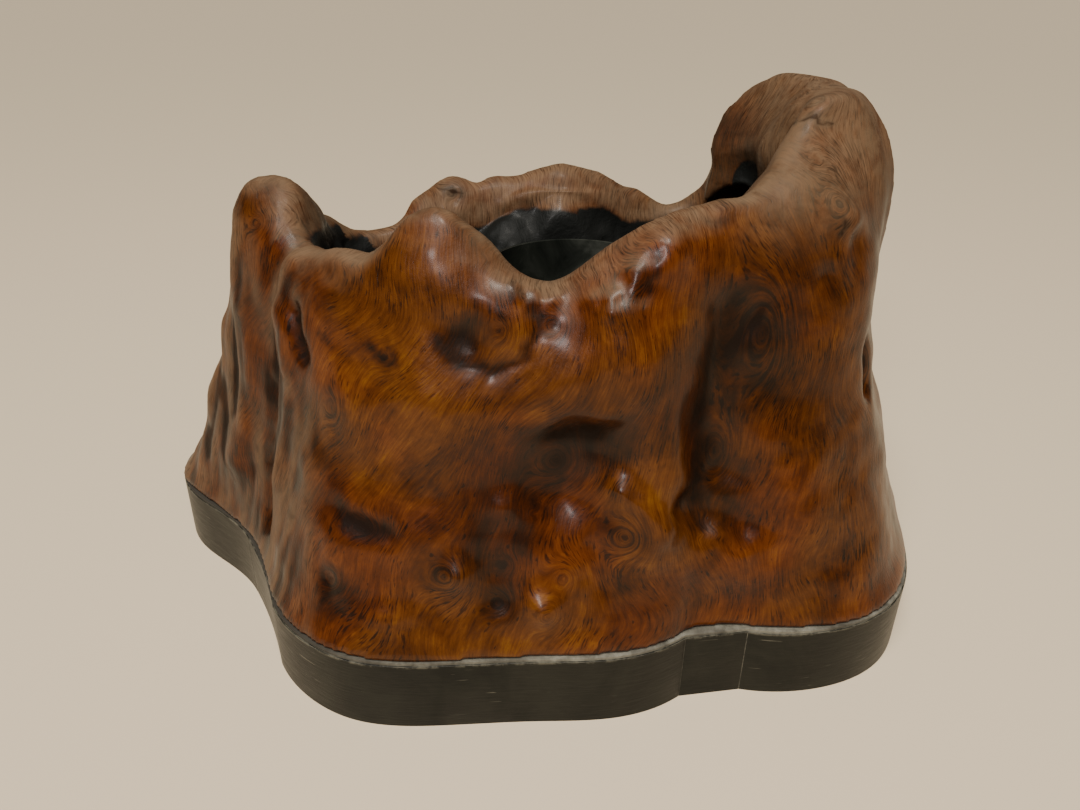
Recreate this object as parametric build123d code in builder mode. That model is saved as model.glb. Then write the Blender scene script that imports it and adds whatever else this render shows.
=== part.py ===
from build123d import *

import os

# A flower vessel cut from a hollow burl root, standing on a built-up black plinth.
#
# The burl is one piece of wood with a wavy rim, a tall hood on its right and a knob on its left. It stands on a
# thin bed of filler over a frame of nine shaped blocks. Three planks on two cleats close the frame from inside,
# and a round sheet-metal liner stands on them in a bore through the burl, from which it lifts straight out.
# Millimetres, +Z up, +X to the right of the front, -Y to the front, origin under the middle of the plinth.

# Overall sizes
body_width = 502.0
body_depth = 302.0
body_height = 318.0

# Plinth
plinth_height = 44.0
block_width = 46.0
bed_thickness = 1.6
bed_inset = 0.8
foot_ledge = 2.4

# Floor inside the plinth
plank_thickness = 12.0
plank_gap = 0.5
cleat_width = 22.0
cleat_height = 18.0
cleat_reach = 105.0

# Burl
rim_half = 18.0
knob_half = 25.0
hood_half = 33.0
ledge_height = 222.0
ledge_fall = 14.0
ledge_under_lip = 8.0
hollow_radius = 36.0
hollow_across = 110.0
hollow_back = 60.0
hollow_height = 214.0

# Liner
bore_x = 28.0
bore_y = 2.0
liner_radius = 52.0
liner_taper = 4.0
liner_height = 172.0
liner_wall_thickness = 0.8
roll_width = 3.4
roll_height = 5.0
liner_clearance = 2.6

# Screws
plinth_screw_length = 38.0
cleat_screw_length = 22.0
shank_radius = 2.0
tip_length = 4.0
head_radius = 4.2
head_height = 2.6
hole_clearance = 0.3
block_counterbore = 26.0
cleat_counterbore = 4.0
screw_inset = 28.0

bed_top = plinth_height + bed_thickness
burl_height = body_height - bed_top
bore_radius = liner_radius + roll_width + liner_clearance
bore_centre = Vector(bore_x, bore_y)

# Stations round the foot and the rim, anticlockwise from the middle of the right end
# across, back: the foot, as shares of half the width and of half the depth
# rim: how far out the crest stands from the bore, as a share of the foot's distance
# rise: the crest's height above the foot, as a share of the burl's
# half: half the rim's thickness
stations = [
    (1.000, 0.010, 0.650, 1.000, hood_half),
    (0.985, 0.400, 0.650, 1.000, hood_half),
    (0.900, 0.720, 0.670, 0.985, hood_half),
    (0.730, 0.915, 0.710, 0.945, hood_half),
    (0.565, 0.980, 0.700, 0.730, rim_half),
    (0.370, 1.000, 0.630, 0.710, rim_half),
    (0.160, 0.985, 0.585, 0.765, rim_half),
    (-0.100, 1.000, 0.570, 0.760, rim_half),
    (-0.330, 0.985, 0.550, 0.745, rim_half),
    (-0.560, 0.965, 0.510, 0.710, rim_half),
    (-0.780, 0.850, 0.495, 0.655, rim_half),
    (-0.940, 0.610, 0.560, 0.660, rim_half),
    (-1.000, 0.300, 0.610, 0.730, knob_half),
    (-0.935, 0.080, 0.660, 0.780, knob_half),
    (-0.825, -0.080, 0.720, 0.760, knob_half),
    (-0.712, -0.270, 0.750, 0.700, rim_half),
    (-0.640, -0.470, 0.730, 0.705, rim_half),
    (-0.575, -0.700, 0.660, 0.750, rim_half),
    (-0.500, -0.850, 0.590, 0.790, rim_half),
    (-0.370, -0.975, 0.545, 0.805, rim_half),
    (-0.165, -0.995, 0.565, 0.760, rim_half),
    (0.030, -0.970, 0.595, 0.725, rim_half),
    (0.200, -0.950, 0.600, 0.765, rim_half),
    (0.363, -0.835, 0.630, 0.810, rim_half),
    (0.505, -0.795, 0.590, 0.825, rim_half),
    (0.690, -0.785, 0.540, 0.840, rim_half),
    (0.860, -0.640, 0.530, 0.875, hood_half),
    (0.955, -0.380, 0.570, 0.935, hood_half),
]

# The plinth's blocks, each from its own station to the next block's
block_starts = {
    "right_back_block": 0,
    "back_right_block": 3,
    "back_block": 7,
    "back_left_block": 9,
    "left_lobe_block": 11,
    "front_left_block": 15,
    "front_block": 17,
    "front_infill_block": 23,
    "right_front_block": 24,
}
station_count = len(stations)
wall_joins = [0, 3, 7, 13, 23, station_count]
block_ends = list(block_starts.values())[1:] + [station_count]
block_spans = list(zip(block_starts, block_starts.values(), block_ends))


def foot_point(station):
    """A station's place on the plinth's outline."""
    across, back = stations[station % station_count][:2]
    return Vector(across * body_width / 2, back * body_depth / 2)


def inward(point, distance):
    """A point that far in from another, towards the middle of the bore."""
    return point + (bore_centre - point).normalized() * distance


def wall_section(station):
    """The burl's wall at one station, upright in the plane through the bore and the foot."""
    _, _, rim, rise, half = stations[station % station_count]
    outward = foot_point(station) - bore_centre
    foot_reach = outward.length - foot_ledge
    crest_reach = outward.length * rim
    crest = bed_top + burl_height * rise
    shoulder_reach = crest_reach + half
    lip_reach = crest_reach - half
    shoulder = crest - 1.2 * half
    ledge = min(ledge_height, shoulder - ledge_under_lip)
    inner_reach = bore_radius - roll_width

    def flare(up, narrowed):
        """A point on the outer face, by its shares of the rise and of the narrowing from foot to shoulder."""
        reach = foot_reach + (shoulder_reach - foot_reach) * narrowed
        return reach, bed_top + (shoulder - bed_top) * up

    upright = Plane(
        origin=bore_centre,
        x_dir=outward.normalized(),
        z_dir=outward.normalized().cross(Vector(0, 0, 1)),
    )
    with BuildSketch(upright) as section:
        with BuildLine():
            Spline(
                (foot_reach, bed_top),
                flare(0.30, 0.38),
                flare(0.65, 0.74),
                (shoulder_reach, shoulder),
                (crest_reach, crest),
                (lip_reach, shoulder),
            )
            Polyline(
                (lip_reach, shoulder),
                (lip_reach, ledge),
                (inner_reach, ledge - ledge_fall),
                (inner_reach, bed_top),
                (foot_reach, bed_top),
            )
        make_face()
    return section.sketch


def frame_stretch(first, last, inset):
    """The plan of one block: a curved outer edge moved in by inset, and a straight inner one."""
    outer = [inward(foot_point(station), inset) for station in range(first, last + 1)]
    with BuildSketch() as plan:
        with BuildLine():
            Spline(*outer)
            Polyline(
                outer[-1],
                inward(foot_point(last), block_width),
                inward(foot_point(first), block_width),
                outer[0],
            )
        make_face()
    return plan.sketch


def well_plan(gap):
    """The plan of the well inside the frame, moved in by a gap."""
    corners = [inward(foot_point(first), block_width + gap) for first in block_starts.values()]
    with BuildSketch() as plan:
        with BuildLine():
            Polyline(*corners, close=True)
        make_face()
    return plan.sketch


def screw(length):
    """A pan-head wood screw, point up, with the underside of its head at zero."""
    with BuildPart() as fixing:
        with BuildSketch(Plane.XZ):
            with BuildLine():
                Polyline(
                    (0, -head_height),
                    (head_radius, -head_height),
                    (head_radius, 0),
                    (shank_radius, 0),
                    (shank_radius, length - tip_length),
                    (0, length),
                    close=True,
                )
            make_face()
        revolve(axis=Axis.Z)
    return fixing.part


def at(places, height):
    """Locations for a list of places in plan, at one height."""
    return Locations([(place.X, place.Y, height) for place in places])


def upward(radius, length, mode=Mode.SUBTRACT):
    """A cylinder that rises from where it is placed."""
    return Cylinder(radius, length, align=(Align.CENTER, Align.CENTER, Align.MIN), mode=mode)


# Each block has one screw, inboard of the middle of its outer edge
screw_places = []
for name, first, last in block_spans:
    edge_middle = (foot_point((first + last) // 2) + foot_point((first + last + 1) // 2)) / 2
    screw_places.append(inward(edge_middle, screw_inset))
plinth_screw_tip = block_counterbore + plinth_screw_length

# The burl: a ring of wall, bored for the liner, hollowed under the hood and drilled for the screws
hollow_centre = (bore_x + hollow_across, bore_y + hollow_back, hollow_height)
with BuildPart() as burl:
    for first, last in zip(wall_joins, wall_joins[1:]):
        loft([wall_section(station) for station in range(first, last + 1)])
    with at([bore_centre], 0):
        upward(bore_radius, 2 * body_height)
    with Locations(hollow_centre):
        Sphere(hollow_radius, mode=Mode.SUBTRACT)
    with at(screw_places, bed_top):
        upward(shank_radius, plinth_screw_tip - bed_top)
burl.part.label = "burl_body"

# The frame of blocks
blocks = []
for (name, first, last), place in zip(block_spans, screw_places):
    with BuildPart() as block:
        with BuildSketch():
            add(frame_stretch(first, last, 0))
        extrude(amount=plinth_height)
        with at([place], 0):
            upward(head_radius + hole_clearance, block_counterbore)
            upward(shank_radius + hole_clearance, 2 * plinth_height)
    block.part.label = name
    blocks.append(block.part)

# The bed of filler between the frame and the burl
with BuildPart() as bed:
    with BuildSketch(Plane.XY.offset(plinth_height)):
        for name, first, last in block_spans:
            add(frame_stretch(first, last, bed_inset))
    extrude(amount=bed_thickness)
    with at(screw_places, plinth_height):
        upward(shank_radius + hole_clearance, bed_thickness)
bed.part.label = "filler_bed"

# The floor: planks on cleats, flush with the top of the frame and clear of its inner faces
well = well_plan(0)
plank_well = well_plan(plank_gap)
well_box = well.bounding_box()
plank_names = ["front_plank", "middle_plank", "back_plank"]
plank_depth = well_box.size.Y / len(plank_names)
plank_middles = [well_box.min.Y + plank_depth * (row + 0.5) for row in range(len(plank_names))]
cleat_middles = {"left_cleat": -cleat_reach, "right_cleat": cleat_reach}
cleat_top = plinth_height - plank_thickness
cleat_foot = cleat_top - cleat_height
cleat_seat = cleat_foot + cleat_counterbore
cleat_screw_places = [Vector(x, y) for x in cleat_middles.values() for y in plank_middles]

planks = []
for name, middle in zip(plank_names, plank_middles):
    with BuildPart() as plank:
        with BuildSketch(Plane.XY.offset(cleat_top)):
            with Locations((0, middle)):
                Rectangle(body_width, plank_depth - plank_gap)
            add(plank_well, mode=Mode.INTERSECT)
        extrude(amount=plank_thickness)
        with at(cleat_screw_places, cleat_top):
            upward(shank_radius, cleat_seat + cleat_screw_length - cleat_top)
    plank.part.label = name
    planks.append(plank.part)

cleats = []
for name, middle in cleat_middles.items():
    with BuildPart() as cleat:
        with BuildSketch(Plane.XY.offset(cleat_foot)):
            with Locations((middle, 0)):
                Rectangle(cleat_width, body_depth)
            add(well, mode=Mode.INTERSECT)
        extrude(amount=cleat_height)
        with at(cleat_screw_places, cleat_foot):
            upward(head_radius + hole_clearance, cleat_counterbore)
            upward(shank_radius + hole_clearance, cleat_height)
    cleat.part.label = name
    cleats.append(cleat.part)

# The screws, each kind one group
plinth_screw = screw(plinth_screw_length)
with BuildPart() as plinth_screws:
    with at(screw_places, block_counterbore):
        add(plinth_screw)
plinth_screws.part.label = "plinth_screws"

cleat_screw = screw(cleat_screw_length)
with BuildPart() as cleat_screws:
    with at(cleat_screw_places, cleat_seat):
        add(cleat_screw)
cleat_screws.part.label = "cleat_screws"

# The liner: a disc, a tapered wall standing on it and a rolled edge outside its top
liner_foot = plinth_height
wall_foot = liner_foot + liner_wall_thickness
liner_top = liner_foot + liner_height
foot_radius = liner_radius - liner_taper
liner_plane = Plane(origin=bore_centre, x_dir=(1, 0, 0), z_dir=(0, -1, 0))
liner_axis = Axis(bore_centre, (0, 0, 1))

with BuildPart() as liner_bottom:
    with at([bore_centre], liner_foot):
        upward(foot_radius, liner_wall_thickness, mode=Mode.ADD)
liner_bottom.part.label = "liner_bottom"

with BuildPart() as liner_wall:
    with BuildSketch(liner_plane):
        with BuildLine():
            Polyline(
                (foot_radius - liner_wall_thickness, wall_foot),
                (foot_radius, wall_foot),
                (liner_radius, liner_top - roll_height),
                (liner_radius, liner_top),
                (liner_radius - liner_wall_thickness, liner_top),
                (liner_radius - liner_wall_thickness, liner_top - roll_height),
                close=True,
            )
        make_face()
    revolve(axis=liner_axis)
liner_wall.part.label = "liner_wall"

with BuildPart() as liner_roll:
    with BuildSketch(liner_plane):
        with BuildLine():
            Line((liner_radius, liner_top), (liner_radius, liner_top - roll_height))
            ThreePointArc(
                (liner_radius, liner_top - roll_height),
                (liner_radius + roll_width, liner_top - roll_height / 2),
                (liner_radius, liner_top),
            )
        make_face()
    revolve(axis=liner_axis)
liner_roll.part.label = "liner_roll"

pieces = [burl.part, bed.part, *blocks, *planks, *cleats, plinth_screws.part, cleat_screws.part]
pieces += [liner_bottom.part, liner_wall.part, liner_roll.part]

os.makedirs("parts", exist_ok=True)
for piece in pieces:
    export_step(piece, f"parts/{piece.label}.step")
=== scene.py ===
import math

import bpy
import numpy as np
from mathutils import Matrix, Vector, noise


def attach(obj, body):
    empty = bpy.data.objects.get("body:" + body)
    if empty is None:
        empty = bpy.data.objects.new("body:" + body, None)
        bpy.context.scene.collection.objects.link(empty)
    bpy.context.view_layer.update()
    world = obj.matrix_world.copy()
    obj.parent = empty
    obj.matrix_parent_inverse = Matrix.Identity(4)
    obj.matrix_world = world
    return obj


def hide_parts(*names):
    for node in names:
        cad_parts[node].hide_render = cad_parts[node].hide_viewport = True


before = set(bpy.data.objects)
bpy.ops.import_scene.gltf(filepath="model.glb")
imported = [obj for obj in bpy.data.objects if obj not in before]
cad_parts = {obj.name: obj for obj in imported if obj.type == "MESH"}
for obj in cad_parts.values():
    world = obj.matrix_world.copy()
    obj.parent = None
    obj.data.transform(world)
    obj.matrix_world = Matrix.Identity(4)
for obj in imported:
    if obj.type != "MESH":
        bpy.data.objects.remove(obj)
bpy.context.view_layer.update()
print("frame loaded")

mm = 0.001


def deselectAll():
    if bpy.context.object and bpy.context.object.mode != "OBJECT":
        bpy.ops.object.mode_set(mode="OBJECT")
    bpy.ops.object.select_all(action="DESELECT")


def pick(piece):
    deselectAll()
    piece.select_set(True)
    bpy.context.view_layer.objects.active = piece


def applyModifiers(piece):
    pick(piece)
    for modifier in list(piece.modifiers):
        bpy.ops.object.modifier_apply(modifier=modifier.name)


def readPoints(piece, what="co"):
    values = np.zeros(len(piece.data.vertices) * 3)
    piece.data.vertices.foreach_get(what, values)
    return values.reshape(-1, 3)


def writePoints(piece, points):
    piece.data.vertices.foreach_set("co", points.ravel())
    piece.data.update()


def copyNode(nodeName, pieceName, closeness, flatWithin=0):
    # a copy of a CAD node, with its loose triangles merged and its finish taken off;
    # triangles within flatWithin degrees of each other become one face
    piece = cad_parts[nodeName].copy()
    piece.data = piece.data.copy()
    bpy.context.scene.collection.objects.link(piece)
    piece.parent = None
    for key in list(piece.keys()):
        del piece[key]
    piece.name = piece.data.name = pieceName
    piece.data.materials.clear()
    pick(piece)
    bpy.ops.object.mode_set(mode="EDIT")
    bpy.ops.mesh.select_all(action="SELECT")
    bpy.ops.mesh.remove_doubles(threshold=closeness)
    if flatWithin:
        bpy.ops.mesh.dissolve_limited(angle_limit=math.radians(flatWithin))
    bpy.ops.object.mode_set(mode="OBJECT")
    return piece


# the camera
view = {
    "eye": (0.008, -0.485, 0.378),
    "pitchDown": 27.76,   # degrees under level
    "roll": 0.943,
    "lens": 28.39,
    "sensor": 36,
}

deselectAll()
turn = Matrix.Rotation(math.radians(90 - view["pitchDown"]), 3, "X")
turn = turn @ Matrix.Rotation(math.radians(view["roll"]), 3, "Z")
bpy.ops.object.camera_add(location=view["eye"], rotation=turn.to_euler())
camera = bpy.context.object
camera.data.lens = view["lens"]
camera.data.sensor_width = view["sensor"]
bpy.context.scene.camera = camera

# the floor and the lights
studio = {
    "floorSize": 40,
    "floorColour": (0.84, 0.70, 0.50, 1),
    "floorRoughness": 0.55,
    "skyColour": (1.0, 0.97, 0.93, 1),
    "skyStrength": 0.09,
    "sunFrom": (-0.17, -0.40, 0.90),
    "sunEnergy": 2.85,
    "sunSpread": 30,         # degrees, wide for soft shadows
    "sunColour": (1.0, 0.95, 0.87),
    "lampsFace": (0, 0, 0.15),
}

deselectAll()
bpy.ops.mesh.primitive_plane_add(size=studio["floorSize"], location=(0, 0, 0))
floor = bpy.context.object
floor.name = "floor"
paint = bpy.data.materials.new("floorPaint")
paint.use_nodes = True
shader = paint.node_tree.nodes["Principled BSDF"]
shader.inputs["Base Color"].default_value = studio["floorColour"]
shader.inputs["Roughness"].default_value = studio["floorRoughness"]
floor.data.materials.append(paint)

world = bpy.data.worlds.new("studio")
bpy.context.scene.world = world
world.use_nodes = True
sky = world.node_tree.nodes["Background"]
sky.inputs["Color"].default_value = studio["skyColour"]
sky.inputs["Strength"].default_value = studio["skyStrength"]

# a wide soft sun for the even light, two soft lamps for the sheen
deselectAll()
fall = Vector(studio["sunFrom"]).to_track_quat("Z", "Y")
bpy.ops.object.light_add(type="SUN", location=(0, 0, 2), rotation=fall.to_euler())
sun = bpy.context.object
sun.name = "softSun"
sun.data.energy = studio["sunEnergy"]
sun.data.angle = math.radians(studio["sunSpread"])
sun.data.color = studio["sunColour"]

lamps = {
    "ceiling": {"at": (0.10, -0.75, 1.7), "size": 0.3, "watts": 11, "colour": (1.0, 0.93, 0.84)},
    "front": {"at": (-0.7, -1.9, 1.5), "size": 0.45, "watts": 15, "colour": (1.0, 0.95, 0.94)},
}
for name, lamp in lamps.items():
    towards = (Vector(studio["lampsFace"]) - Vector(lamp["at"])).to_track_quat("-Z", "Y")
    deselectAll()
    bpy.ops.object.light_add(type="AREA", location=lamp["at"], rotation=towards.to_euler())
    light = bpy.context.object
    light.name = name + "Lamp"
    light.data.shape = "DISK"
    light.data.size = lamp["size"]
    light.data.energy = lamp["watts"]
    light.data.color = lamp["colour"]
print("camera, floor and lights placed")

# the burl; every place and path is in mm, and so is every size
vessel = {
    "voxel": 2.62,
    "relax": 5,                       # rounds of smoothing after the remesh
    "bore": (28, 2),                  # middle of the liner's bore
    "lumps": (34, 2.4),               # size and height of the broad unevenness
    "ripples": (11, 0.45),            # the same for the small unevenness
    "gouges": (10, 3.0),              # size and depth of the rough hollowed inside
    "folds": (9, 1.5),                # size and height of the upright folds on the left flank
    "blackTop": (238, 17),            # top of the black inside, and how much lower it is behind
    "underRim": 13,                   # the black starts at least this far below the rim
    # the hollow under the hood is painted black, as painted shade
    "hoodHollow": (146, 60, 252),     # the dark hollow under the hood
    "ledgeRise": 13,                  # how much higher the ledge stands behind the liner
    "footSpread": (1.9, 1.4),         # how far the foot covers the filler, and how much less in front
    "bareFiller": (95, -125),         # where the filler shows most
    "holdDown": (313, 5.8),           # the top is pressed in above this height, by no more than this
    "hoodShade": (128, 80, 282),        # beside the hood, where the pale colour is held back, as painted shade on its inner face
    "wander": (38, 1.1),              # over what distance the grain strays, and by how much
    "grainSteps": 500,
    "hollowSteps": 90,                # more steps find wider hollows and ridges

    # places leaned or raised as a whole: path, how wide, which way
    "shifts": [
        ([(-12, -78, 250), (2, -80, 246), (10, -82, 243)], 16, (0, 0, -8)),
        ([(-80, -70, 252), (-74, -71, 254)], 12, (0, 0, -5.5)),
        ([(-100, -58, 241)], 12, (0, 0, 2.5)),
        ([(-135, -34, 229), (-128, -32, 236)], 12, (4, 0, -4)),
        ([(-60, -75, 260), (-45, -75, 264)], 13, (-1, 0, 4.5)),
        ([(-20, -77, 253)], 9, (1, 0, 2)),
        ([(59, -77, 267)], 12, (0, 0, -3)),
        ([(107, -44, 273), (118, -34, 283)], 16, (4, 0, -3.5)),
        ([(-70, 76, 231), (-54, 81, 241)], 13, (-5, 0, 6.5)),
        ([(-37, 83, 248)], 8, (0, 0, -5)),
        ([(-118, 53, 225), (-98, 59, 223)], 13, (0, 0, -4.8)),
        ([(48, 90, 247)], 13, (0, 0, 3.5)),
        ([(90, 101, 238), (112, 103, 248)], 15, (5, 0, -9.5)),
        ([(72, 97, 238)], 11, (0, 0, 3)),
        ([(118, 80, 272), (127, 86, 291)], 13, (-1, 0, 0)),
        ([(114, 79, 262)], 9, (3, 0, 0)),
        ([(130, 90, 302)], 10, (3, 0, -3)),
        ([(93, 100, 228)], 8, (0, 0, 2.6)),
        ([(-96, 62, 218)], 9, (0, 0, 2)),
        ([(-125, 47, 226)], 8, (0, 0, 2)),
        ([(159, 69, 314), (177, 41, 313)], 12, (0, 0, 2.5)),
        ([(230, -28, 96)], 20, (-4, 0, 0)),
        ([(195, -38, 195)], 12, (-3.5, 0, 0)),
        ([(-192, 4, 172), (-183, 3, 196), (-175, -2, 232)], 14, (2, 0, 0)),
        ([(-126, -31, 232)], 8, (0, 0, -2)),
        ([(-76, -71, 249), (-65, -74, 258)], 8, (1, 0, -1.6)),
        ([(-8, -78, 243), (-2, -80, 240)], 7, (0, 0, -2.4)),
        ([(17, -80, 236)], 7, (0, 0, 2)),
        ([(95, -64, 270)], 9, (0, 0, 2.4)),
        ([(-56, 80, 248)], 9, (0, 0, -2.2)),
        ([(-76, 73, 230)], 9, (-2, 0, 1.5)),
        ([(5, 87, 256)], 9, (0, 0, -2.2)),
        ([(155, 72, 314), (160, 62, 316)], 13, (0, 0, 2)),
        ([(172, 22, 320)], 14, (0, 0, -2.5)),
        ([(-207, 22, 122), (-186, 2, 168)], 24, (-7, 0, 0)),
        ([(-134, 5, 257), (-129, 14, 246)], 12, (3, 0, 1.5)),
        ([(-126, 44, 226)], 10, (0, 0, 3)),
        ([(-166, -1, 250), (-159, 3, 262)], 12, (-7, 0, 3.5)),
        ([(216, 2, 236), (215, 2, 195), (219, 0, 155)], 30, (-8, 1.5, 0)),
    ],

    # what the carver's hand would add: path, how wide, how far out
    "swellings": [
        ([(-150, 4, 250), (-158, -8, 232)], 26, 6),
        ([(-142, -22, 242)], 15, 4),
        ([(-162, 0, 258)], 9, 1.5),
        ([(-164, -18, 190), (-168, -22, 150), (-186, -20, 90)], 12, 5),
        ([(-122, -46, 230)], 17, 7),
        ([(-133, -58, 206), (-130, -63, 180)], 8, 4),
        ([(-132, -60, 150), (-140, -64, 110)], 14, 5),
        ([(-10, -103, 226)], 16, 2),
        ([(-84, -100, 172), (-42, -111, 174), (0, -112, 176), (42, -110, 192)], 20, 6),
        ([(70, -88, 258)], 18, 4),
        ([(71, -96, 264), (66, -99, 253)], 9.9, 4),
        ([(53, -104, 248), (51, -105, 241)], 6.5, 3),
        ([(41, -108, 236), (40, -109, 231)], 6, 3.2),
        ([(30, -107, 235)], 4.5, 2.2),
        ([(-5, -96, 238), (-4, -98, 233)], 3, 1.5),
        ([(4, -97, 237), (5, -99, 232)], 3, 1.7),
        ([(13, -98, 236), (13, -100, 231)], 3, 1.5),
        ([(150, -17, 305), (150, 8, 298), (144, 20, 284)], 17, 8),
        ([(166, -55, 260)], 9, 3.5),
        ([(155, -64, 238)], 9, 3.5),
        ([(140, -58, 272)], 18, 3.5),
        ([(160, -52, 262)], 14, 3),
        ([(48, -104, 224), (64, -106, 182), (72, -107, 140)], 18, 8),
        ([(68, -122, 107), (92, -117, 94), (118, -113, 82)], 15, 5),
        ([(50, -119, 136), (62, -121, 126), (74, -120, 115)], 8, 6),
        ([(13, -137, 73)], 9.9, 6.5),
        ([(-34, -133, 90)], 9.9, 6),
        ([(-114, -94, 132), (-78, -116, 122)], 12, 1.5),
        ([(106, -106, 104), (118, -106, 94)], 9, 4),
        ([(-8, -122, 128), (4, -124, 122)], 8, 3),
        ([(40, -112, 178)], 9, 3.5),
        ([(-105, -120, 100)], 16, 3),
        ([(140, -96, 150), (150, -100, 110)], 22, 4),
        ([(-60, -125, 60)], 22, 3),
        ([(-52, 68, 234)], 15, 6),
        ([(60, 108, 170), (40, 118, 110)], 28, 7),
        ([(-60, 100, 190), (-80, 118, 120)], 26, 7),
        ([(-150, 70, 190), (-190, 80, 110)], 26, 7),
        ([(190, 60, 220), (205, 80, 140)], 26, 6),
    ],

    # and what it would take away: path, how wide, how far in
    "hollows": [
        ([(-141, -40, 212), (-150, -46, 175)], 11, 4.5),
        ([(-123, -68, 211), (-120, -71, 200), (-117, -75, 191)], 5, 5),
        ([(-150, -48, 150), (-158, -50, 110), (-160, -56, 70)], 8, 6),
        ([(-85, -78, 238)], 18, 4),
        ([(-30, -106, 214)], 13, 3.5),
        ([(-1, -98, 236), (7, -102, 222), (1, -107, 206), (-16, -108, 197), (-34, -108, 203)], 3.5, 1.1),
        ([(-11, -106, 221)], 4, 1),
        ([(13, -105, 221)], 5, 1.5),
        ([(61, -101, 256), (59, -102, 246), (56, -105, 238)], 4, 1.8),
        ([(47, -105, 243), (46, -108, 235)], 3.6, 1.8),
        ([(35, -108, 234)], 3, 1.4),
        ([(27, -108, 154), (18, -114, 132)], 21, 13),
        ([(101, -88, 222), (102, -93, 178), (104, -99, 138)], 15, 7.5),
        ([(88, -110, 121), (100, -107, 112), (118, -105, 105)], 10, 5),
        ([(-18, -128, 112), (-15, -132, 92)], 8, 2),
        ([(36, -126, 104), (40, -132, 84)], 8, 2),
        ([(-12, -136, 76)], 8, 2),
        ([(-105, -124, 80)], 5, 2),
        ([(-100, -112, 116), (-84, -120, 112), (-68, -123, 110)], 7, 1.6),
        ([(153, -69, 238)], 8, 4.5),
        ([(168, -57, 255)], 7, 3.5),
        ([(117, -88, 215)], 12, 2),
        ([(192, -52, 190), (193, -55, 166)], 7, 7),
        ([(-48, 60, 241)], 5, 3),
        ([(140, 57, 259)], 14, 9),
        ([(20, 125, 150), (10, 135, 80)], 16, 8),
        ([(-120, 98, 160), (-140, 125, 90)], 16, 8),
        ([(130, 125, 190), (140, 138, 100)], 16, 8),
    ],

    # burl eyes, where the grain runs in rings: place, radius, how much taller than wide, how dark
    "eyes": [
        ((-13, -106, 219), 5, 1.5, 0.7),
        ((120, -83, 212), 21, 2.1, 0.6),
        ((-38, -134, 91), 15, 1.0, 0.5),
        ((-9, -132, 96), 6, 1.0, 0.8),
        ((-105, -124, 80), 9, 1.0, 0.8),
        ((13, -104, 221), 8, 1.3, 0.9),
        ((20, -117, 148), 17, 1.0, 0.35),
        ((53, -104, 247), 8, 1.4, 0.2),
        ((13, -136, 72), 12, 1.2, 0.2),
        ((-12, -136, 75), 10, 1.0, 0.6),
        ((-84, -120, 112), 11, 0.6, 0.8),
        ((53, -124, 111), 16, 1.0, 0.5),
        ((23, -131, 90), 11, 1.2, 0.3),
        ((-120, -73, 201), 9, 2.2, 0.9),
        ((-99, -94, 169), 9, 1.5, 0.8),
        ((-70, -101, 200), 6, 0.7, 0.8),
        ((192, -53, 178), 12, 2.0, 0.9),
        ((152, -20, 308), 17, 0.8, 0.5),
        ((157, -55, 268), 13, 1.4, 0.5),
        ((-50, 58, 246), 8, 1.0, 1.0),
        ((104, -100, 145), 15, 1.8, 0.2),
        ((-150, -15, 242), 9, 0.8, 0.2),
        ((60, 108, 160), 20, 1.3, 0.25),
        ((-70, 110, 150), 22, 1.2, 0.3),
        ((-190, 80, 120), 16, 1.5, 0.25),
        ((205, 70, 170), 18, 1.4, 0.25),
        ((120, 128, 110), 15, 1.0, 0.2),
        ((-10, 130, 80), 12, 1.0, 0.2),
        ((-130, 105, 90), 12, 1.0, 0.2),
        ((222, -10, 110), 14, 1.3, 0.4),
    ],

    # the way the grain runs elsewhere: place, direction, reach
    "grainRuns": [
        ((-100, -100, 150), (0.9, 0, 0.35), 34),
        ((-45, -118, 150), (0.85, 0, 0.5), 34),
        ((-20, -112, 170), (0.95, 0, 0.4), 30),
        ((30, -110, 185), (0.8, 0, 0.6), 26),
        ((-60, -125, 115), (0.6, 0, 0.8), 28),
        ((-50, -95, 232), (0.3, 0, 1.0), 20),
        ((-88, -95, 205), (1.0, 0, 0.25), 24),
        ((-48, -106, 190), (1.0, 0, 0.3), 26),
        ((140, -100, 130), (0.45, 0, 0.9), 34),
        ((150, -80, 210), (-0.2, 0, 1.0), 26),
        ((-85, -135, 70), (1.0, 0, 0.1), 24),
        ((100, -118, 85), (1.0, 0, -0.25), 24),
        ((165, -100, 80), (0.3, 0, 1.0), 30),
    ],

    # darker (+) and paler (-) places, some of the darker ones painted shade, on the hood's inner face and in the
    # scoop: place, reach, how much
    "shades": [
        ((-31, -106, 214), 9, 0.9), ((-22, -105, 226), 7, 0.4), ((22, -112, 150), 26, 0.22),
        ((-6, -118, 132), 24, 0.28), ((-45, -128, 90), 10, 0.4), ((-98, -128, 70), 12, 0.5),
        ((40, -112, 165), 14, 0.3), ((-84, -120, 112), 9, 0.5), ((-10, -135, 75), 9, 0.4),
        ((90, -97, 170), 9, 0.35), ((118, -90, 205), 15, 0.15), ((-120, -73, 200), 7, 0.6),
        ((95, -105, 125), 12, 0.3), ((-185, -10, 110), 50, 0.3), ((192, -53, 178), 9, 0.5),
        ((128, 78, 284), 24, 0.45), ((115, -88, 200), 45, 0.22), ((150, -85, 170), 60, 0.2),
        ((95, -100, 150), 40, 0.06), ((58, -82, 262), 9, -0.3), ((-80, -90, 215), 30, -0.26),
        ((-85, -98, 185), 26, -0.14), ((0, -105, 205), 16, -0.35), ((70, -95, 235), 26, -0.3),
        ((110, -112, 88), 30, -0.15), ((-60, -135, 70), 30, -0.2), ((30, -132, 85), 26, -0.25),
        ((130, -85, 250), 26, -0.2), ((155, -95, 130), 30, -0.1), ((-50, -80, 250), 18, -0.15),
        ((60, -110, 140), 18, -0.15),
    ],

    # dark lines, in the figure and as painted shade along creases and grooves: path, how wide, how dark
    "darkLines": [
        (
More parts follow.
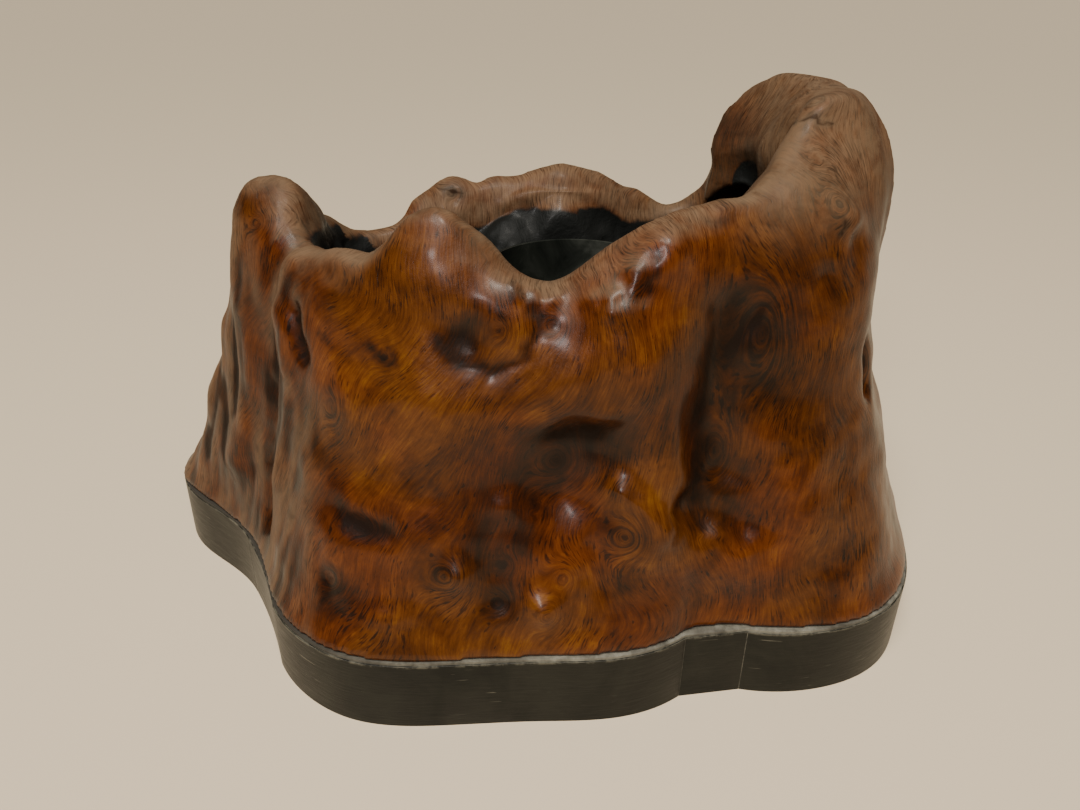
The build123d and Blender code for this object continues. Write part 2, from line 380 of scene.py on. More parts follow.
            [(-1, -98, 236), (7, -102, 222), (1, -107, 206), (-16, -108, 197), (-34, -108, 203), (-44, -107, 214)],
            2.6, 0.9,
        ),
        ([(-123, -67, 213), (-120, -71, 200), (-117, -75, 189)], 4.5, 0.9),
        ([(-79, -98, 207), (-68, -101, 197)], 2.6, 1.0),
        ([(-69, -101, 207), (-62, -103, 199)], 2.4, 0.8),
        ([(61, -101, 257), (62, -102, 248), (58, -104, 239)], 2.0, 0.8),
        ([(138, -23, 304), (142, -28, 306), (146, -29, 308), (148, -30, 305), (155, -30, 304)], 1.8, 0.95),
        ([(-5, -95, 240), (-7, -98, 232)], 2.4, 1.0),
        ([(92, -90, 224), (92, -93, 178), (96, -102, 135)], 7, 0.35),
        ([(100, -100, 150), (88, -105, 128), (98, -110, 112)], 7, 0.5),
        ([(106, -84, 225), (102, -86, 200)], 9, 0.3),
        ([(0, -112, 165), (16, -106, 168), (36, -106, 166)], 7, 0.6),
        ([(-98, -114, 117), (-84, -120, 113), (-70, -123, 111)], 5.5, 0.9),
        ([(-150, -48, 190), (-160, -54, 120), (-164, -60, 80)], 6, 0.6),
        ([(-56, 66, 244), (-44, 66, 243)], 2.5, 0.8),
        ([(88, -78, 266), (98, -76, 266)], 3, 0.8),
        ([(120, -75, 222), (116, -80, 214)], 2.2, 0.7),
        ([(-105, -82, 205), (-98, -88, 200)], 2.2, 0.6),
        ([(160, -66, 262), (160, -68, 256)], 2, 1.0),
        ([(-18, -126, 120), (-22, -129, 105), (-20, -132, 92)], 5, 0.55),
        ([(-2, -124, 124), (0, -129, 108)], 5, 0.5),
        ([(44, -120, 112), (46, -125, 95), (52, -127, 80)], 4, 0.4),
        ([(-176, -18, 190), (-190, -16, 120)], 6, 0.5),
    ],

    # colours of the wood from its darkest grain to its palest, and of what covers it
    "figure": [
        (0.00, (0.0075, 0.0026, 0.0006)),
        (0.24, (0.0210, 0.0058, 0.0004)),
        (0.40, (0.0410, 0.0102, 0.0003)),
        (0.56, (0.0700, 0.0185, 0.0006)),
        (0.72, (0.1060, 0.0310, 0.0024)),
        (1.00, (0.1800, 0.0680, 0.0060)),
    ],
    # the pale worn colour stands partly for wear and partly for painted top light and painted sheen
    "worn": (0.200, 0.136, 0.080, 1),
    "wornDark": (0.040, 0.020, 0.009, 1),
    "black": (0.0080, 0.0088, 0.0080, 1),
    "redTint": (1.05, 0.84, 0.8, 1),

    # the grain's figure: size across and along the grain, then of the patches and the mottle
    "bands": (4.2, 34),
    "lines": (0.85, 12),
    "dashes": (1.1, 5),
    "hairs": (0.6, 7),
    "patches": 52,
    "mottle": 12,

    # its polish
    "coat": (0.24, 0.22),             # on clean wood, and how much less where it is dull
    "coatRoughness": 0.2,
    "specular": 0.15,
    "bump": 0.3,
}


def settle(points, path):
    # the path laid on the surface as it now stands
    laid = []
    for start, end in zip(path, path[1:] or path):
        start, end = np.array(start, float), np.array(end, float)
        steps = max(1, int(np.linalg.norm(end - start) / 4))
        for step in range(steps + 1):
            spot = (start + (end - start) * step / steps) * mm
            laid.append(points[np.argmin(np.linalg.norm(points - spot, axis=1))] / mm)
    return laid


def alongPath(points, path):
    # distance of every point from a path
    path = [np.array(p, float) * mm for p in path]
    nearest = np.linalg.norm(points - path[0], axis=1)
    for start, end in zip(path, path[1:]):
        leg = end - start
        share = np.clip((points - start) @ leg / max(leg @ leg, 1e-12), 0, 1)
        nearest = np.minimum(nearest, np.linalg.norm(points - start - share[:, None] * leg, axis=1))
    return nearest


def facing(points, normals, path):
    # how far each point faces the same way as the surface under the middle of the path
    middle = np.array(path[len(path) // 2], float) * mm
    near = np.argmin(np.linalg.norm(points - middle, axis=1))
    return np.clip(normals @ normals[near] * 1.6 + 0.2, 0, 1)


def sculpt(piece, touches, sign):
    points, normals = readPoints(piece), readPoints(piece, "normal")
    move = np.zeros(len(points))
    for path, width, push in touches:
        if width < 10:
            path = settle(points, path)
        hold = np.exp(-((alongPath(points, path) / (width * mm)) ** 2)) * facing(points, normals, path)
        move += sign * push * mm * hold
    writePoints(piece, points + normals * move[:, None])


def lean(piece, leanings):
    points = readPoints(piece)
    move = np.zeros_like(points)
    for path, width, way in leanings:
        hold = np.exp(-((alongPath(points, path) / (width * mm)) ** 2))
        move += hold[:, None] * np.array(way) * mm
    writePoints(piece, points + move)


def noiseAt(points, size, seed):
    offset = Vector((seed * 7.1, seed * 3.7, seed * 5.3))
    return np.array([noise.noise(Vector(p) / (size * mm) + offset) for p in points])


def smoothStep(values, low, high):
    share = np.clip((values - low) / (high - low), 0, 1)
    return share * share * (3 - 2 * share)


def giveAttribute(piece, name, values):
    attribute = piece.data.attributes.new(name, "FLOAT", "POINT")
    attribute.data.foreach_set("value", values.astype(np.float32))


burl = copyNode("burl_body", "burl", 0.02 * mm)
remesh = burl.modifiers.new("remesh", "REMESH")
remesh.mode = "VOXEL"
remesh.voxel_size = vessel["voxel"] * mm
smooth = burl.modifiers.new("smooth", "SMOOTH")
smooth.iterations = vessel["relax"]
applyModifiers(burl)
lean(burl, vessel["shifts"])
sculpt(burl, vessel["swellings"], 1)
sculpt(burl, vessel["hollows"], -1)
print("burl roughed out,", len(burl.data.vertices), "points")

# where the rim is, so that the inside and the top can be told from the outside
points, normals = readPoints(burl), readPoints(burl, "normal")
fromBore = points[:, :2] - np.array(vessel["bore"]) * mm
reach = np.linalg.norm(fromBore, axis=1)
outward = fromBore / reach[:, None]
sectors = 72
turnShare = (np.arctan2(fromBore[:, 1], fromBore[:, 0]) + math.pi) / (2 * math.pi)
sector = (turnShare * sectors).astype(int) % sectors
crest = np.array([points[sector == s, 2].max() for s in range(sectors)])
crestReach = np.array([reach[sector == s][np.argmax(points[sector == s, 2])] for s in range(sectors)])
crest = (np.roll(crest, 1) + 2 * crest + np.roll(crest, -1)) / 4
crestReach = (np.roll(crestReach, 1) + 2 * crestReach + np.roll(crestReach, -1)) / 4
rear = smoothStep(outward[:, 1], 0, 0.7)
blackTop, lowerBehind = vessel["blackTop"]
blackFrom = np.minimum(crest[sector] - vessel["underRim"] * mm, (blackTop - lowerBehind * rear) * mm)
pastRim, belowRim = crestReach[sector] - reach, blackFrom - points[:, 2]
inside = smoothStep(pastRim, 0, 5 * mm) * smoothStep(belowRim, -5 * mm, 7 * mm)
# the hollow under the hood is painted black as well, as painted shade
fromHollow = np.linalg.norm(points - np.array(vessel["hoodHollow"]) * mm, axis=1)
inside = np.maximum(inside, 1 - smoothStep(fromHollow, 15 * mm, 22 * mm))
hollowed = smoothStep(pastRim, 0, 6 * mm) * smoothStep(belowRim, 0, 20 * mm)

# the black ledge round the liner stands higher behind it
behind = smoothStep(outward[:, 1], -0.35, 0.5)
level = smoothStep(points[:, 2], 196 * mm, 221 * mm) * (1 - smoothStep(points[:, 2], 226 * mm, 248 * mm))
points[:, 2] += vessel["ledgeRise"] * mm * behind * level * (1 - smoothStep(reach, 72 * mm, 90 * mm))
writePoints(burl, points)
normals = readPoints(burl, "normal")

# broad lumps, ripples and gouges
lumpSize, lumpHeight = vessel["lumps"]
rippleSize, rippleHeight = vessel["ripples"]
gougeSize, gougeDepth = vessel["gouges"]
foldSize, foldHeight = vessel["folds"]
bottom = points[:, 2].min()
foot = smoothStep(points[:, 2], bottom + 2 * mm, bottom + 25 * mm)
move = noiseAt(points, lumpSize, 1) * lumpHeight * (1 - inside) * foot
move += noiseAt(points, rippleSize, 2) * rippleHeight * foot
clearOfLiner = smoothStep(reach, 60 * mm, 68 * mm)
move += (np.abs(noiseAt(points, gougeSize, 3)) * 2 - 0.8) * gougeDepth * hollowed * clearOfLiner
folds = noiseAt(points * np.array((1, 1, 0.16)), foldSize, 5) * foldHeight
onFlank = smoothStep(-normals[:, 0], 0.3, 0.8) * smoothStep(-points[:, 0], 90 * mm, 140 * mm) * (1 - inside)
move += folds * onFlank * foot
points = points + normals * move[:, None] * mm

# the foot spread over the filler, and the top pressed in under its height
fromBare = np.linalg.norm(points[:, :2] - np.array(vessel["bareFiller"]) * mm, axis=1)
most, lessInFront = vessel["footSpread"]
spreadFoot = most - lessInFront * np.exp(-((fromBare / (75 * mm)) ** 2))
spreadFoot = (1 - smoothStep(points[:, 2], 46 * mm, 64 * mm)) * spreadFoot
points[:, :2] += outward * spreadFoot[:, None] * mm
startsAt, room = (value * mm for value in vessel["holdDown"])
high = points[:, 2] > startsAt
points[high, 2] = startsAt + room * np.tanh((points[high, 2] - startsAt) / room)
writePoints(burl, points)

# the grain: a height whose contours are the grain lines, found by relaxing it over the surface
points, normals = readPoints(burl), readPoints(burl, "normal")
up = np.cross(normals, np.cross(np.tile((0.0, 0.0, 1.0), (len(points), 1)), normals))
radial = np.cross(normals, np.cross(np.column_stack((outward, np.zeros(len(points)))), normals))
topness = smoothStep(normals[:, 2], 0.45, 0.85)[:, None]
run = up * (1 - topness) + radial * topness
across = np.cross(run, normals)
across /= np.linalg.norm(across, axis=1)[:, None] + 1e-9
across *= np.where(across[:, 0] < 0, -1, 1)[:, None]
for place, direction, size in vessel["grainRuns"]:
    away = np.linalg.norm(points - np.array(place) * mm, axis=1)
    hold = np.exp(-((away / (size * mm)) ** 2))[:, None] * 3
    turned = np.cross(np.array(direction, float), normals)
    turned /= np.linalg.norm(turned, axis=1)[:, None] + 1e-9
    turned *= np.where(np.sum(turned * across, axis=1) < 0, -1, 1)[:, None]
    across = across + turned * hold
across /= np.linalg.norm(across, axis=1)[:, None] + 1e-9
wanderSize, wanderTurn = vessel["wander"]
wander = noiseAt(points, wanderSize, 4) * wanderTurn
across = across * np.cos(wander)[:, None] + np.cross(normals, across) * np.sin(wander)[:, None]
trust = np.ones(len(points))
ring = np.zeros(len(points))
eyes = [(settle(points, [place])[0], *others) for place, *others in vessel["eyes"]]
for place, size, tall, dark in eyes:
    offset = (points - np.array(place) * mm) / np.array((1, 1, tall))
    distance = np.linalg.norm(offset, axis=1) + 1e-9
    hold = np.exp(-((distance / (size * mm * 1.15)) ** 2))
    outAcross = offset / distance[:, None] / np.array((1, 1, tall))
    outAcross -= normals * np.sum(outAcross * normals, axis=1)[:, None]
    across = across * (1 - hold)[:, None] + outAcross * hold[:, None]
    trust += hold * 8
    ring = np.maximum(ring, hold * (0.35 + 0.65 * dark))
edges = np.zeros(len(burl.data.edges) * 2, int)
burl.data.edges.foreach_get("vertices", edges)
near, far = edges.reshape(-1, 2).T
wanted = np.sum((points[far] - points[near]) * (across[far] + across[near]) / 2, axis=1)
weight = (trust[near] + trust[far]) / 2
count = len(points)


def spread(values):
    return np.bincount(far, values, count) - np.bincount(near, values, count)


grain = points[:, 0].copy()
leftOver = spread(weight * (wanted - (grain[far] - grain[near])))
heading = leftOver.copy()
error = leftOver @ leftOver
for step in range(vessel["grainSteps"]):
    pulled = spread(weight * (heading[far] - heading[near]))
    share = error / (heading @ pulled)
    grain += share * heading
    leftOver -= share * pulled
    newError = leftOver @ leftOver
    heading = leftOver + heading * (newError / error)
    error = newError
print("grain laid")

# how far each point stands out of (+) or lies below (-) the surface round it, in mm
touching = np.bincount(near, minlength=count) + np.bincount(far, minlength=count)
around = points.copy()
for step in range(vessel["hollowSteps"]):
    around = np.column_stack([
        (np.bincount(near, axis[far], count) + np.bincount(far, axis[near], count)) / touching
        for axis in around.T
    ])
standing = np.sum((points - around) * normals, axis=1) / mm

# hollows are darker as painted shade and ridges paler, partly wear and partly painted light, then the placed
# shades, the eyes and the dark lines
shade = 0.26 * smoothStep(-standing, 0.2, 2.4) - 0.14 * smoothStep(standing, 0.3, 2.5)
for place, size, amount in vessel["shades"]:
    away = np.linalg.norm(points - np.array(place) * mm, axis=1)
    hold = np.exp(-((away / (size * mm)) ** 2))
    shade += hold * amount
for place, size, tall, dark in eyes:
    offset = (points - np.array(place) * mm) / np.array((1, 1, tall))
    distance = np.linalg.norm(offset, axis=1) / (size * mm)
    heart, halo = np.exp(-((distance / 0.38) ** 2)), np.exp(-(((distance - 0.95) / 0.22) ** 2))
    shade += dark * (heart * 0.7 + halo * 0.25)
for path, width, dark in vessel["darkLines"]:
    shade += dark * np.exp(-((alongPath(points, settle(points, path)) / (width * mm)) ** 2))

# where the polish is worn, with painted light: up-facing tops paler, partly wear and partly painted top light; the
# hood, the rim, and the ridges of the flank's folds, the last partly painted sheen
wearAndPaintedLight = smoothStep(normals[:, 2], 0.4, 0.95) * smoothStep(points[:, 2], 195 * mm, 225 * mm)
onHood = smoothStep(points[:, 2], 240 * mm, 288 * mm) * smoothStep(points[:, 0], 85 * mm, 130 * mm)
# the hood's inner rim gets less of the pale colour, as painted shade
lessOnHood = 0.9 - 0.55 * smoothStep(points[:, 0], 100 * mm, 120 * mm)
wearAndPaintedLight = np.maximum(wearAndPaintedLight, onHood * 0.9)
wearAndPaintedLight = np.maximum(wearAndPaintedLight, smoothStep(pastRim, -6 * mm, 4 * mm) * lessOnHood)
wearAndPaintedLight = np.maximum(wearAndPaintedLight, onFlank * smoothStep(folds, -0.4, 0.6) * 0.72) * (1 - inside)
# the valleys of the flank's folds darker, as painted shade
shade += onFlank * (smoothStep(-folds, -0.1, 0.7) * 0.75 + 0.1)
# beside the hood the pale colour is held back, as painted shade on its inner face
fromHoodShade = np.linalg.norm(points - np.array(vessel["hoodShade"]) * mm, axis=1)
wearAndPaintedLight *= 1 - 0.85 * np.exp(-((fromHoodShade / (24 * mm)) ** 2))
fields = {"grain": grain, "shade": shade, "wearAndPaintedLight": wearAndPaintedLight, "inside": inside, "ring": ring}
for name, values in fields.items():
    giveAttribute(burl, name, values)
for face in burl.data.polygons:
    face.use_smooth = True
print("burl shaped")


# steps that the finishes are made of
def newFinish(name):
    finish = bpy.data.materials.new(name)
    finish.use_nodes = True
    return finish, finish.node_tree, finish.node_tree.nodes["Principled BSDF"]


def addNode(tree, kind, settings=None, inputs=None):
    node = tree.nodes.new(kind)
    for key, value in (settings or {}).items():
        setattr(node, key, value)
    for key, value in (inputs or {}).items():
        if isinstance(value, bpy.types.NodeSocket):
            tree.links.new(value, node.inputs[key])
        else:
            node.inputs[key].default_value = value
    return node


def sums(tree, operation, first, second=0.0, third=None):
    node = addNode(tree, "ShaderNodeMath", {"operation": operation}, {0: first, 1: second})
    if third is not None:
        if isinstance(third, bpy.types.NodeSocket):
            tree.links.new(third, node.inputs[2])
        else:
            node.inputs[2].default_value = third
    return node.outputs[0]


def ramp(tree, value, stops):
    node = addNode(tree, "ShaderNodeValToRGB", None, {"Fac": value})
    bar = node.color_ramp
    while len(bar.elements) < len(stops):
        bar.elements.new(0.5)
    for element, (place, colour) in zip(bar.elements, stops):
        element.position = place
        element.color = (*colour, 1) if len(colour) == 3 else colour
    return node.outputs["Color"]


def blendColours(tree, share, first, second, how="MIX"):
    node = addNode(tree, "ShaderNodeMix", {"data_type": "RGBA", "blend_type": how})
    for socket, value in ((node.inputs[0], share), (node.inputs[6], first), (node.inputs[7], second)):
        if isinstance(value, bpy.types.NodeSocket):
            tree.links.new(value, socket)
        else:
            socket.default_value = value
    return node.outputs[2]


def readAttribute(tree, name):
    return addNode(tree, "ShaderNodeAttribute", {"attribute_name": name}).outputs["Fac"]


def grainNoise(tree, grain, place, across, along, detail=2.0, rough=0.5):
    # stretched along the grain: across and along are the sizes of the figure in mm
    w = sums(tree, "MULTIPLY", grain, 1000 / across)
    drawnOut = {0: place, "Scale": 1000 / along}
    stretched = addNode(tree, "ShaderNodeVectorMath", {"operation": "SCALE"}, drawnOut)
    node = addNode(
        tree, "ShaderNodeTexNoise", {"noise_dimensions": "4D"},
        {"Vector": stretched.outputs[0], "W": w, "Scale": 1.0, "Detail": detail, "Roughness": rough},
    )
    return node.outputs["Fac"]


def plainNoise(tree, place, size, detail=3.0, rough=0.5, warp=0.0):
    node = addNode(
        tree, "ShaderNodeTexNoise", {"noise_dimensions": "3D"},
        {"Vector": place, "Scale": 1000 / size, "Detail": detail, "Roughness": rough, "Distortion": warp},
    )
    return node.outputs["Fac"]


def softStep(tree, value, low, high, top=1.0):
    node = addNode(
        tree, "ShaderNodeMapRange", {"interpolation_type": "SMOOTHSTEP"},
        {"Value": value, "From Min": low, "From Max": high, "To Min": 0.0, "To Max": top},
    )
    return node.outputs["Result"]


def addRelief(tree, shader, height, strength, depth):
    # depth in mm
    sizes = {"Strength": strength, "Distance": depth * mm, "Height": height}
    bump = addNode(tree, "ShaderNodeBump", None, sizes)
    tree.links.new(bump.outputs[0], shader.inputs["Normal"])


# the burl's wood: bands, lines, dashes and hairs that follow the grain, over wide patches
wood, tree, shader = newFinish("burlWood")
place = addNode(tree, "ShaderNodeTexCoord").outputs["Object"]
grain, shadeHere = readAttribute(tree, "grain"), readAttribute(tree, "shade")
wearAndPaintedLightHere, insideHere = readAttribute(tree, "wearAndPaintedLight"), readAttribute(tree, "inside")
bands = grainNoise(tree, grain, place, *vessel["bands"], 3.0, 0.6)
lines = grainNoise(tree, grain, place, *vessel["lines"], 3.0, 0.7)
dashes = grainNoise(tree, grain, place, *vessel["dashes"], 1.0, 0.4)
patches = plainNoise(tree, place, vessel["patches"], 4.0, 0.6, 0.8)
mottle = plainNoise(tree, place, vessel["mottle"], 3.0, 0.6, 0.4)
tone = sums(tree, "MULTIPLY_ADD", sums(tree, "SUBTRACT", bands, 0.5), 0.5, 0.55)
tone = sums(tree, "MULTIPLY_ADD", sums(tree, "SUBTRACT", patches, 0.5), 0.85, tone)
tone = sums(tree, "MULTIPLY_ADD", sums(tree, "SUBTRACT", mottle, 0.5), 0.42, tone)
tone = sums(tree, "MULTIPLY_ADD", sums(tree, "SUBTRACT", lines, 0.5), 0.75, tone)
tone = sums(tree, "SUBTRACT", tone, sums(tree, "MULTIPLY", shadeHere, 0.42))
dashMask = sums(tree, "MULTIPLY_ADD", sums(tree, "SUBTRACT", patches, 0.5), -0.25, dashes)
dashMask = softStep(tree, dashMask, 0.69, 0.77, 0.3)
tone = sums(tree, "SUBTRACT", tone, dashMask)
hairs = grainNoise(tree, grain, place, *vessel["hairs"], 1.0, 0.5)
hairGroups = softStep(tree, plainNoise(tree, place, 26, 3.0, 0.6, 0.5), 0.42, 0.62, 0.36)
tone = sums(tree, "SUBTRACT", tone, sums(tree, "MULTIPLY", softStep(tree, hairs, 0.53, 0.66), hairGroups))
ringWave = sums(tree, "SINE", sums(tree, "MULTIPLY_ADD", grain, 1750, sums(tree, "MULTIPLY", bands, 5)))
ringHere = softStep(tree, readAttribute(tree, "ring"), 0.25, 0.7, 0.24)
tone = sums(tree, "SUBTRACT", tone, sums(tree, "MULTIPLY", softStep(tree, ringWave, 0.1, 0.95), ringHere))
colour = ramp(tree, tone, vessel["figure"])
redShare = softStep(tree, plainNoise(tree, place, 75, 2.0), 0.42, 0.62)
reddened = blendColours(tree, 1.0, colour, vessel["redTint"], "MULTIPLY")
colour = blendColours(tree, redShare, colour, reddened)

# worn places, and those given painted top light and sheen, are paler and greyer, with the grain still dark in them
faintLines = softStep(tree, lines, 0.62, 0.38, 0.4)
streaks = sums(tree, "MULTIPLY_ADD", softStep(tree, hairs, 0.5, 0.66), 0.45, faintLines)
streaks = sums(tree, "MULTIPLY", streaks, softStep(tree, patches, 0.3, 0.6))
marks = sums(tree, "MAXIMUM", streaks, softStep(tree, shadeHere, 0.35, 1.1))
wornTone = blendColours(tree, marks, vessel["worn"], vessel["wornDark"])
wornTone = blendColours(tree, 0.22, wornTone, colour)
wornShare = sums(tree, "MULTIPLY", wearAndPaintedLightHere, softStep(tree, mottle, 0.25, 0.6, 0.45))
wornShare = sums(tree, "MULTIPLY_ADD", wearAndPaintedLightHere, 0.5, wornShare)
colour = blendColours(tree, wornShare, colour, wornTone)
raggedInside = sums(tree, "MULTIPLY_ADD", sums(tree, "SUBTRACT", mottle, 0.5), 0.9, insideHere)
colour = blendColours(tree, softStep(tree, raggedInside, 0.3, 0.7), colour, vessel["black"])
tree.links.new(colour, shader.inputs["Base Color"])

# polish: dull where it is worn or has painted light, dark or inside
rough = sums(tree, "MULTIPLY_ADD", mottle, 0.22, 0.26)
rough = sums(tree, "MULTIPLY_ADD", wearAndPaintedLightHere, 0.28, rough)
darkHere = softStep(tree, shadeHere, 0.5, 1.1)
rough = sums(tree, "MULTIPLY_ADD", darkHere, 0.25, rough)
rough = sums(tree, "MAXIMUM", rough, sums(tree, "MULTIPLY", insideHere, 0.62))
tree.links.new(rough, shader.inputs["Roughness"])
dull = sums(tree, "MAXIMUM", sums(tree, "MAXIMUM", wearAndPaintedLightHere, insideHere), darkHere)
fullCoat, lessCoat = vessel["coat"]
coat = sums(tree, "SUBTRACT", fullCoat, sums(tree, "MULTIPLY", dull, lessCoat))
tree.links.new(coat, shader.inputs["Coat Weight"])
shader.inputs["Coat Roughness"].default_value = vessel["coatRoughness"]
shader.inputs["Specular IOR Level"].default_value = vessel["specular"]

# a fine relief along the grain, and rubble inside
skin = plainNoise(tree, place, 1.6, 2.0, 0.5)
rubble = plainNoise(tree, place, 6, 4.0, 0.6, 0.6)
rubble = sums(tree, "MULTIPLY", rubble, sums(tree, "MULTIPLY", insideHere, 3.0))
relief = sums(tree, "MULTIPLY_ADD", bands, 0.8, sums(tree, "MULTIPLY", lines, 0.5))
relief = sums(tree, "SUBTRACT", relief, dashMask)
relief = sums(tree, "ADD", sums(tree, "MULTIPLY_ADD", skin, 0.35, relief), rubble)
addRelief(tree, shader, relief, vessel["bump"], 1.0)

burl.data.materials.append(wood)
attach(burl, "base")
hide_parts("burl_body")
print("burl finished")

# the lacquered plinth
plinth = {
    "soften": 0.8,           # width of the worn edges, mm
    "top": 0.044,            # height of the blocks' top, m
    "lacquer": (0.0035, 0.0043, 0.0031, 1),
    "rubbed": (0.0122, 0.0130, 0.0090, 1),
    "scratch": (0.16, 0.15, 0.11, 1),
    "edge": (0.012, 0.012, 0.009, 1),
    "chipped": (0.105, 0.098, 0.072, 1),
    "specular": 0.22,
    "blocks": {
        "right_back_block": "rightBackBlock",
        "back_right_block": "backRightBlock",
        "back_block": "backBlock",
        "back_left_block": "backLeftBlock",
        "left_lobe_block": "leftLobeBlock",
        "front_left_block": "frontLeftBlock",
        "front_block": "frontBlock",
        "front_infill_block": "frontInfillBlock",
        "right_front_block": "rightFrontBlock",
    },
}

lacquer, tree, shader = newFinish("blackLacquer")
place = addNode(tree, "ShaderNodeTexCoord").outputs["Object"]
height = addNode(tree, "ShaderNodeSeparateXYZ", None, {0: place}).outputs["Z"]
cloud = plainNoise(tree, place, 38, 4.0, 0.6, 0.5)
brushing = addNode(tree, "ShaderNodeMapping", None, {"Vector": place, "Scale": (1, 1, 9)})
brushMarks = plainNoise(tree, brushing.outputs[0], 16, 4.0, 0.65)
tilt = {"Vector": place, "Rotation": (0.3, 0.5, 0.4), "Scale": (1, 1, 22)}
tilted = addNode(tree, "ShaderNodeMapping", None, tilt)
scratches = softStep(tree, plainNoise(tree, tilted.outputs[0], 22, 2.0, 0.5, 0.4), 0.69, 0.73)
scratches = sums(tree, "MULTIPLY", scratches, softStep(tree, plainNoise(tree, place, 30, 2.0), 0.5, 0.62))
colour = blendColours(tree, softStep(tree, cloud, 0.35, 0.75), plinth["lacquer"], plinth["rubbed"])
edge = softStep(tree, height, plinth["top"] - 1.9 * mm, plinth["top"] - 0.2 * mm)
patchy = softStep(tree, plainNoise(tree, place, 9, 4.0, 0.7), 0.42, 0.62, 0.75)
edgeWear = sums(tree, "MULTIPLY", edge, patchy)
pale = sums(tree, "MAXIMUM", sums(tree, "MULTIPLY", scratches, 0.7), edgeWear)
colour = blendColours(tree, pale, colour, plinth["scratch"])
tree.links.new(colour, shader.inputs["Base Color"])
tree.links.new(sums(tree, "MULTIPLY_ADD", brushMarks, 0.3, 0.26), shader.inputs["Roughness"])
shader.inputs["Specular IOR Level"].default_value = plinth["specular"]
relief = sums(tree, "SUBTRACT", sums(tree, "MULTIPLY_ADD", cloud, 1.2, brushMarks), scratches)
addRelief(tree, shader, relief, 0.25, 0.8)

# its edges, rubbed paler
worn, tree, shader = newFinish("lacquerEdge")
place = addNode(tree, "ShaderNodeTexCoord").outputs["Object"]
chips = softStep(tree, plainNoise(tree, place, 7, 4.0, 0.7), 0.40, 0.62)
colour = blendColours(tree, chips, plinth["edge"], plinth["chipped"])
tree.links.new(colour, shader.inputs["Base Color"])
tree.links.new(sums(tree, "MULTIPLY_ADD", chips, 0.25, 0.4), shader.inputs["Roughness"])

for nodeName, pieceName in plinth["blocks"].items():
    block = copyNode(nodeName, pieceName, 0.005 * mm, flatWithin=0.5)
    block.data.materials.append(lacquer)
    block.data.materials.append(worn)
    bevel = block.modifiers.new("soften", "BEVEL")
    bevel.width = plinth["soften"] * mm
    bevel.segments = 2
    bevel.limit_method = "ANGLE"
    bevel.angle_limit = math.radians(40)
    bevel.material = 1
    applyModifiers(block)
    for face in block.data.polygons:   # the sides round, the top and the bevel flat
        face.use_smooth = abs(face.normal.z) < 0.5 and face.area > 4e-6
    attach(block, "base")
    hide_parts(nodeName)
print("plinth blocks softened")

# the filler between burl and plinth, darker at the left and paler to the right
filler = {
    "tones": [(0.3, (0.075, 0.070, 0.052)), (0.55, (0.20, 0.19, 0.15)), (0.8, (0.34, 0.33, 0.27))],
    "darkerLeft": (0.035, 0.030, 0.022, 1),
    "paleFrom": (-0.14, -0.02),   # where the darker colour fades, from left to right, m
    "grit": 7,                     # size of its unevenness, mm
    "roughness": 0.8,
}

paste, tree, shader = newFinish("fillerPaste")
place = addNode(tree, "ShaderNodeTexCoord").outputs["Object"]
grey = plainNoise(tree, place, filler["grit"], 4.0, 0.65)
fromLeft = addNode(tree, "ShaderNodeSeparateXYZ", None, {0: place}).outputs["X"]
paleSide = softStep(tree, fromLeft, *filler["paleFrom"])
patchiness = softStep(tree, plainNoise(tree, place, 26, 3.0), 0.38, 0.6)
paleShare = sums(tree, "MULTIPLY", paleSide, sums(tree, "MULTIPLY_ADD", patchiness, 0.5, 0.5))
colour = blendColours(tree, paleShare, filler["darkerLeft"], ramp(tree, grey, filler["tones"]))
tree.links.new(colour, shader.inputs["Base Color"])
shader.inputs["Roughness"].default_value = filler["roughness"]
addRelief(tree, shader, grey, 0.5, 0.6)

bed = copyNode("filler_bed", "fillerBed", 0.005 * mm)
bed.data.materials.append(paste)
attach(bed, "base")
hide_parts("filler_bed")
print("filler laid")


def dress(nodeNames, finish):
    # a CAD node whose shape is right gets its finish
    for nodeName in nodeNames:
        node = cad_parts[nodeName]
        node.data.materials.clear()
        node.data.materials.append(finish)


# the liner with its rolled edge, a dark metal
liner = {
    "nodes": ("liner_bottom", "liner_wall", "liner_roll"),
    "tones": [(0.3, (0.006, 0.0075, 0.006)), (0.52, (0.020, 0.023, 0.018)), (0.72, (0.060, 0.064, 0.053))],
    "cloud": 30,             # size of the patina's clouds, mm
    "metallic": 0.35,
}

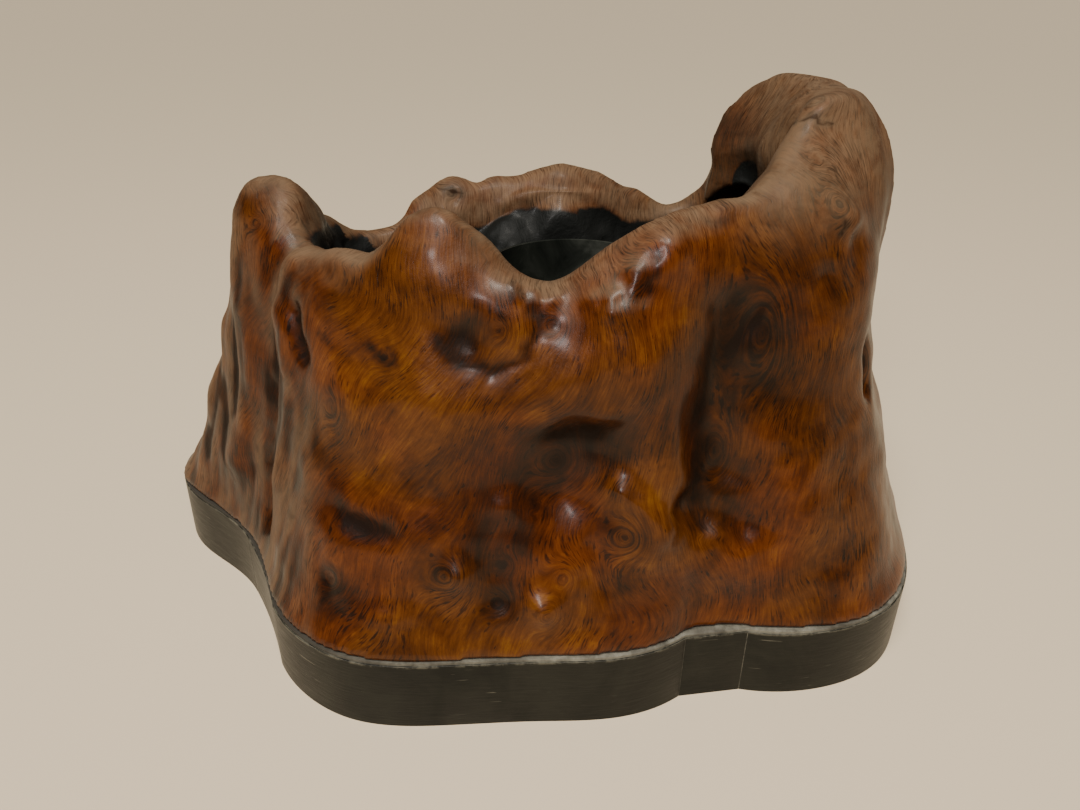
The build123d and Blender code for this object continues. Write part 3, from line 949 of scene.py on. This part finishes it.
patina, tree, shader = newFinish("linerPatina")
place = addNode(tree, "ShaderNodeTexCoord").outputs["Object"]
cloud = plainNoise(tree, place, liner["cloud"], 5.0, 0.6, 0.6)
tree.links.new(ramp(tree, cloud, liner["tones"]), shader.inputs["Base Color"])
shader.inputs["Metallic"].default_value = liner["metallic"]
tree.links.new(sums(tree, "MULTIPLY_ADD", cloud, 0.35, 0.28), shader.inputs["Roughness"])
addRelief(tree, shader, cloud, 0.2, 1.0)
dress(liner["nodes"], patina)
print("liner finished")

# the planks and cleats underneath, plain sawn wood
boards = {
    "nodes": ("front_plank", "middle_plank", "back_plank", "left_cleat", "right_cleat"),
    "tones": [(0.1, (0.42, 0.27, 0.13)), (0.55, (0.33, 0.19, 0.085)), (0.95, (0.20, 0.105, 0.045))],
    "yearRings": 34,         # how close they lie
    "pores": 1.2,            # mm
}

plainWood, tree, shader = newFinish("plainWood")
place = addNode(tree, "ShaderNodeTexCoord").outputs["Object"]
stretched = addNode(tree, "ShaderNodeMapping", None, {"Vector": place, "Scale": (0.08, 1, 1)})
year = addNode(
    tree, "ShaderNodeTexWave", {"wave_type": "BANDS", "bands_direction": "Y", "wave_profile": "SAW"},
    {
        "Vector": stretched.outputs[0], "Scale": boards["yearRings"],
        "Distortion": 5.0, "Detail": 3.0, "Detail Scale": 1.5,
    },
).outputs["Fac"]
pores = plainNoise(tree, stretched.outputs[0], boards["pores"], 2.0)
tone = sums(tree, "MULTIPLY_ADD", year, 0.55, sums(tree, "MULTIPLY", pores, 0.5))
tree.links.new(ramp(tree, tone, boards["tones"]), shader.inputs["Base Color"])
tree.links.new(sums(tree, "MULTIPLY_ADD", pores, 0.3, 0.5), shader.inputs["Roughness"])
addRelief(tree, shader, tone, 0.25, 0.4)
dress(boards["nodes"], plainWood)
print("planks and cleats finished")

# the screws that hold them
screws = {
    "nodes": ("plinth_screws", "cleat_screws"),
    "tones": [(0.3, (0.30, 0.29, 0.25)), (0.7, (0.56, 0.55, 0.50))],
    "bloom": 2.5,            # size of the dull spots, mm
}

zinc, tree, shader = newFinish("screwZinc")
place = addNode(tree, "ShaderNodeTexCoord").outputs["Object"]
bloom = plainNoise(tree, place, screws["bloom"], 3.0)
tree.links.new(ramp(tree, bloom, screws["tones"]), shader.inputs["Base Color"])
shader.inputs["Metallic"].default_value = 1.0
tree.links.new(sums(tree, "MULTIPLY_ADD", bloom, 0.3, 0.2), shader.inputs["Roughness"])
dress(screws["nodes"], zinc)
print("screws finished")
